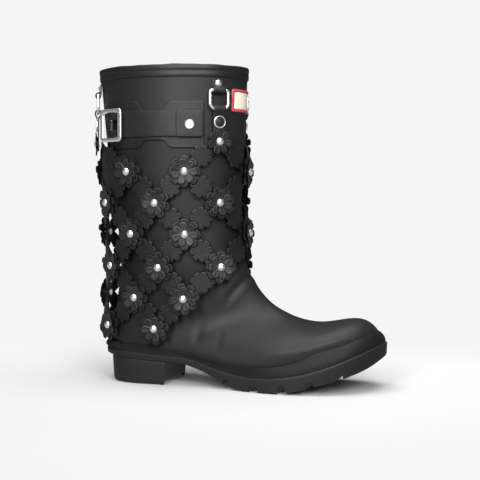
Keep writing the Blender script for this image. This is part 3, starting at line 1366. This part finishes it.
def revolve(profile, count, origin, t, n, centre):
    """Turns an (r, y) profile about the outward axis through (0, centre level)."""
    v, f = [], []
    m = len(profile)
    for i in range(count):
        a = 2 * math.pi * i / count
        for r, y in profile:
            v.append((origin + t * (r * math.cos(a)) + UP * (centre + r * math.sin(a)) + n * y) * MM)
    for i in range(count):
        k = (i + 1) % count
        for j in range(m - 1):
            f.append((i * m + j, i * m + j + 1, k * m + j + 1, k * m + j))
    return v, f


for k, phi in HANGERS:
    o, n = leg_point(phi, 276.0, 0)
    t = n.cross(UP)
    ring_path = []
    c, rad = 4.4, 2.2
    tab = [(1.5, 11.3), (1.5, 9.0), (1.5, 6.0), (1.55, 3.2), (1.75, 1.2), (2.2, 0.0), (2.85, -1.55), (c, -rad), (5.95, -1.55), (c + rad, 0.0), (5.95, 1.55), (c, rad), (3.2, 2.75), (2.75, 3.3)]
    ribbon("hanger_tab_fold_%d" % k, tab, 12.0, 1.35, o, t, n, "strap_leather", "boot", ["hanger_tab_%d" % k])
    b, rb = -17.0, 2.85
    hs = [(4.35, -53.6), (4.38, -48.0), (4.4, -40.0), (4.4, -30.0), (4.3, -24.0), (3.7, -21.2), (2.1, -19.0), (c - rb, b), (2.4, b + 2.05), (c, b + rb), (6.4, b + 2.05), (c + rb, b), (6.75, -19.0), (5.95, -20.9), (5.72, -22.4)]
    ribbon("hanger_strap_fold_%d" % k, hs, 11.4, 1.3, o, t, n, "strap_leather", "hanger_%d" % k, ["hanger_strap_%d" % k])
    y0 = 5.06
    R = 5.8
    v, f = revolve([(R - 1.15, y0 + 0.9), (R - 1.1, y0 + 1.35), (R - 0.9, y0 + 1.66), (R - 0.55, y0 + 1.75), (R - 0.2, y0 + 1.6), (R, y0 + 1.15), (R, y0 + 0.1), (R - 0.2, y0), (R - 1.15, y0), (R - 1.15, y0 + 0.9)], 56, o, t, n, -29.0)
    make("snap_ring_%d" % k, v, f, "bright_metal", "hanger_%d" % k, ["hanger_snap_%d" % k], auto=40)
    prof = [(0.0, y0 + 1.75), (1.2, y0 + 1.72), (2.4, y0 + 1.55), (3.2, y0 + 1.3), (3.7, y0 + 1.0), (R - 1.2, y0 + 0.95), (R - 1.2, y0 + 0.1), (0.0, y0 + 0.05)]
    v, f = revolve(prof, 56, o, t, n, -29.0)
    make("snap_cap_%d" % k, v, f, "net_rubber", "hanger_%d" % k, auto=60)
    fb2 = Builder()
    mesh = flower_mesh(12.0, 7, 3.9, 1.15, 0.7, 1.4, rng, phase=rng.random(), curl=[rng.randrange(7)], groove=0.9)
    put(fb2, mesh, o + UP * -47.0, t, n, UP, 5.28)
    make("hanger_bloom_%d" % k, fb2.v, fb2.f, "net_rubber", "hanger_%d" % k, ["hanger_flower_%d" % k])

# ------------------------------------------------------------------ camera, light, floor
def camera(theta=20.5, d=1045.0, h=180.0, f=1075.0, ax=174.0, hy=195.0, roll=0.0):
    th = math.radians(theta)
    pos = Vector((d * math.sin(th), -d * math.cos(th), h)) * MM
    base = Vector((-math.sin(th), math.cos(th), 0))
    right = Vector((math.cos(th), math.sin(th), 0))
    yaw = math.atan((240 - ax) / f)
    fw = base * math.cos(yaw) + right * math.sin(yaw)
    rt = right * math.cos(yaw) - base * math.sin(yaw)
    pitch = math.atan((240 - hy) / f)
    up = Vector((0, 0, 1))
    fwd = fw * math.cos(pitch) - up * math.sin(pitch)
    u = up * math.cos(pitch) + fw * math.sin(pitch)
    r = math.radians(roll)
    rt, u = rt * math.cos(r) + u * math.sin(r), u * math.cos(r) - rt * math.sin(r)
    cam = bpy.data.cameras.new("camera")
    cam.sensor_width = 36.0
    cam.lens = 36.0 * f / 480.0
    cam.clip_start = 0.02
    o = bpy.data.objects.new("camera", cam)
    bpy.context.scene.collection.objects.link(o)
    m = Matrix((
        (rt.x, u.x, -fwd.x, pos.x),
        (rt.y, u.y, -fwd.y, pos.y),
        (rt.z, u.z, -fwd.z, pos.z),
        (0, 0, 0, 1)))
    o.matrix_world = m
    bpy.context.scene.camera = o
    return o


cam = camera()


def area(name, loc, target, size, power, colour=(1, 1, 1)):
    l = bpy.data.lights.new(name, "AREA")
    l.shape = "RECTANGLE"
    l.size, l.size_y = size
    l.energy = power
    l.color = colour
    o = bpy.data.objects.new(name, l)
    o.location = loc
    o.rotation_euler = (Vector(target) - Vector(loc)).to_track_quat("-Z", "Y").to_euler()
    bpy.context.scene.collection.objects.link(o)
    return o


bpy.context.scene.view_settings.view_transform = "Standard"
bpy.context.scene.view_settings.look = "None"

WHITE = 0.915
world = bpy.data.worlds.new("studio")
bpy.context.scene.world = world
world.use_nodes = True
wt = world.node_tree
bg = wt.nodes["Background"]
lp = wt.nodes.new("ShaderNodeLightPath")
wc = wt.nodes.new("ShaderNodeTexCoord")
sep = wt.nodes.new("ShaderNodeSeparateXYZ")
wt.links.new(wc.outputs["Generated"], sep.inputs["Vector"])
sky = ramp(wt, sep.outputs["Z"], [(0.0, grey(0.06)), (0.45, grey(0.07)), (0.75, grey(0.16)), (1.0, grey(0.36))])
pick = wt.nodes.new("ShaderNodeMix")
pick.data_type = "RGBA"
wt.links.new(lp.outputs["Is Camera Ray"], pick.inputs["Factor"])
wt.links.new(sky, pick.inputs["A"])
pick.inputs["B"].default_value = grey(WHITE)
wt.links.new(pick.outputs["Result"], bg.inputs["Color"])
bg.inputs["Strength"].default_value = 1.0

size = 6.0
me = bpy.data.meshes.new("floor")
me.from_pydata([(-size, -size, 0), (size, -size, 0), (size, size, 0), (-size, size, 0)], [], [(0, 1, 2, 3)])
floor = bpy.data.objects.new("floor", me)
bpy.context.scene.collection.objects.link(floor)
fm, ft, fb = nodes_of("floor_paper")
tcf = ft.nodes.new("ShaderNodeTexCoord").outputs["Object"]
fn = noise(ft, 3.0, 4.0, 0.5, tcf)
sepf = ft.nodes.new("ShaderNodeSeparateXYZ")
link(ft, tcf, sepf.inputs["Vector"])
span = ft.nodes.new("ShaderNodeMapRange")
span.inputs["From Min"].default_value = -0.42
span.inputs["From Max"].default_value = 0.18
link(ft, sepf.outputs["Y"], span.inputs["Value"])
near_far = ramp(ft, span.outputs["Result"], [(0.0, grey(0.385)), (0.35, grey(0.46)), (0.7, grey(0.555)), (1.0, grey(0.66))])
fmix = ft.nodes.new("ShaderNodeMix")
fmix.data_type = "RGBA"
fmix.blend_type = "MULTIPLY"
fmix.inputs["Factor"].default_value = 1.0
link(ft, near_far, fmix.inputs["A"])
link(ft, ramp(ft, fn.outputs["Fac"], [(0.3, grey(0.985)), (0.7, grey(1.0))]), fmix.inputs["B"])
link(ft, fmix.outputs["Result"], fb.inputs["Base Color"])
fb.inputs["Roughness"].default_value = 0.9
fb.inputs["Specular IOR Level"].default_value = 0.2
em = ft.nodes.new("ShaderNodeEmission")
em.inputs["Color"].default_value = grey(WHITE)
ln = ft.nodes.new("ShaderNodeVectorMath")
ln.operation = "DISTANCE"
link(ft, tcf, ln.inputs[0])
ln.inputs[1].default_value = (0.07, 0.0, 0.0)
far = ramp(ft, ln.outputs["Value"], [(0.18, (0, 0, 0)), (0.42, (1, 1, 1))])
mixs = ft.nodes.new("ShaderNodeMixShader")
link(ft, far, mixs.inputs["Fac"])
link(ft, fb.outputs["BSDF"], mixs.inputs[1])
link(ft, em.outputs["Emission"], mixs.inputs[2])
dim = ft.nodes.new("ShaderNodeEmission")
dim.inputs["Color"].default_value = grey(0.42)
fl = ft.nodes.new("ShaderNodeLightPath")
seen = ft.nodes.new("ShaderNodeMixShader")
link(ft, fl.outputs["Is Camera Ray"], seen.inputs["Fac"])
link(ft, dim.outputs["Emission"], seen.inputs[1])
link(ft, mixs.outputs["Shader"], seen.inputs[2])
link(ft, seen.outputs["Shader"], ft.nodes["Material Output"].inputs["Surface"])
floor.data.materials.append(fm)

area("key", (0.02, -1.27, 0.62), (0.02, 0.0, 0.17), (0.26, 0.9), 16.0)
area("top", (0.06, -0.20, 1.5), (0.06, 0.0, 0.0), (1.3, 1.2), 28.0)
area("side", (0.75, -1.10, 0.70), (0.12, 0.0, 0.05), (0.55, 0.6), 15.0)

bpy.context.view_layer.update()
